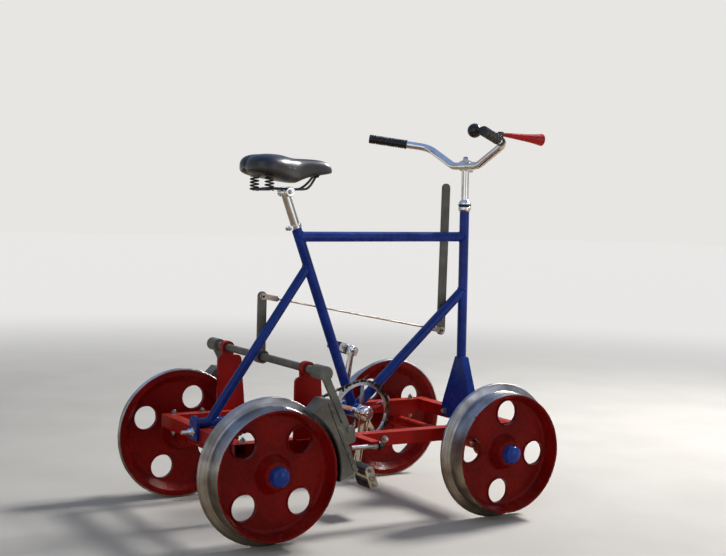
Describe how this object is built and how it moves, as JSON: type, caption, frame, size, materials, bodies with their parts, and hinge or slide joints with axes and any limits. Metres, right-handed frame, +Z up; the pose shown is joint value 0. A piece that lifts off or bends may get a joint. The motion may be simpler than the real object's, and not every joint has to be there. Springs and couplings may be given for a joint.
{
  "type": "pedal railway handcar",
  "caption": "One-seat pedal railway handcar: blue bicycle frame on a red four-wheel chassis, chain drive and lever brake on the rear wheels.",
  "frame": {"origin": "floor under the middle of the vehicle, where the wheel flanges touch", "axes": "+X towards the handlebar end (forwards), +Y to the rider's left, +Z up"},
  "size_m": [1.09, 0.728, 1.0965],
  "materials": {
    "red_paint": "satin enamel over steel",
    "blue_paint": "gloss enamel",
    "grey_paint": "plain grey coat",
    "wheel_cast": "painted cast iron, bare steel tread",
    "bright_steel": "bright plating",
    "bare_steel": "plain zinc and worn steel",
    "black_plastic": "glossy saddle cover",
    "black_rubber": "moulded rubber",
    "chain_steel": "oiled chain"
  },
  "bodies": {
    "chassis": {"side_rails": "red_paint", "front_beam": "red_paint", "rear_beam": "red_paint", "axle_boxes": "red_paint", "front_bracket": "blue_paint", "head_post": "blue_paint", "seat_tube": "blue_paint", "top_tube": "blue_paint", "down_tube": "blue_paint", "chain_stay": "blue_paint", "seat_stay": "blue_paint", "bottom_bracket": "blue_paint", "tail_plate": "blue_paint", "tail_stud": "bare_steel", "seat_post": "bright_steel", "seat_clamp": "bright_steel", "saddle": "black_plastic", "saddle_frame": "bare_steel", "headset": "bright_steel", "stem": "bright_steel", "handlebar": "bright_steel", "grips": "black_rubber", "horn": "red_paint", "horn_bulb": "black_rubber", "horn_clamp": "bare_steel", "chain": "chain_steel", "brake_pedestals": "red_paint", "lever_bolt": "bare_steel", "brake_stops": "red_paint", "stop_bolts": "bare_steel"},
    "front_wheelset": {"front_axle": "red_paint", "front_wheel_left": "wheel_cast", "front_wheel_right": "wheel_cast", "front_axle_caps": "blue_paint"},
    "rear_wheelset": {"rear_axle": "red_paint", "rear_wheel_left": "wheel_cast", "rear_wheel_right": "wheel_cast", "rear_axle_caps": "blue_paint", "rear_sprocket": "chain_steel"},
    "crankset": {"crank_spindle": "bare_steel", "crank_right": "bright_steel", "crank_left": "bright_steel", "chainring": "bright_steel", "pedal_spindle_right": "bare_steel", "pedal_spindle_left": "bare_steel"},
    "right_pedal": {"pedal_right": "bare_steel", "pedal_pads_right": "black_rubber"},
    "left_pedal": {"pedal_left": "bare_steel", "pedal_pads_left": "black_rubber"},
    "brake_cross_shaft": {"brake_shaft": "grey_paint", "brake_hangers": "grey_paint", "brake_blocks": "grey_paint", "pull_arm": "grey_paint"},
    "rod": {"brake_rod": "bare_steel"},
    "hand_lever": {"brake_lever": "grey_paint"}
  },
  "joints": [
    {"name": "front_wheels", "type": "hinge", "parent": "chassis", "child": "front_wheelset", "pos_m": [0.357, 0, 0.188], "axis": [0, 1, 0], "continuous": true},
    {"name": "rear_wheels", "type": "hinge", "parent": "chassis", "child": "rear_wheelset", "pos_m": [-0.357, 0, 0.188], "axis": [0, 1, 0], "continuous": true},
    {"name": "cranks", "type": "hinge", "parent": "chassis", "child": "crankset", "pos_m": [0.056, 0, 0.275], "axis": [0, 1, 0], "continuous": true},
    {"name": "right_pedal_turn", "type": "hinge", "parent": "crankset", "child": "right_pedal", "pos_m": [0.03003, -0.1165, 0.11104], "axis": [0, 1, 0], "continuous": true},
    {"name": "left_pedal_turn", "type": "hinge", "parent": "crankset", "child": "left_pedal", "pos_m": [0.08197, 0.1165, 0.43896], "axis": [0, 1, 0], "continuous": true},
    {"name": "brake", "type": "hinge", "parent": "chassis", "child": "brake_cross_shaft", "pos_m": [-0.232, 0, 0.437], "axis": [0, 1, 0], "range_deg": [-1.5, 1.5]},
    {"name": "lever", "type": "hinge", "parent": "chassis", "child": "hand_lever", "pos_m": [0.371, 0.023, 0.56438], "axis": [0, 1, 0], "range_deg": [-3.9, 3.9]},
    {"name": "rod_swing", "type": "hinge", "parent": "brake_cross_shaft", "child": "rod", "pos_m": [-0.232, 0.023, 0.603], "axis": [0, 1, 0], "range_deg": [-1.7, 1.7]}
  ],
  "couplings": [
    {"joint": "cranks", "follows": "rear_wheels", "ratio": 0.40909},
    {"joint": "lever", "follows": "brake", "ratio": -2.338},
    {"joint": "rod_swing", "follows": "brake", "ratio": -0.985}
  ]
}
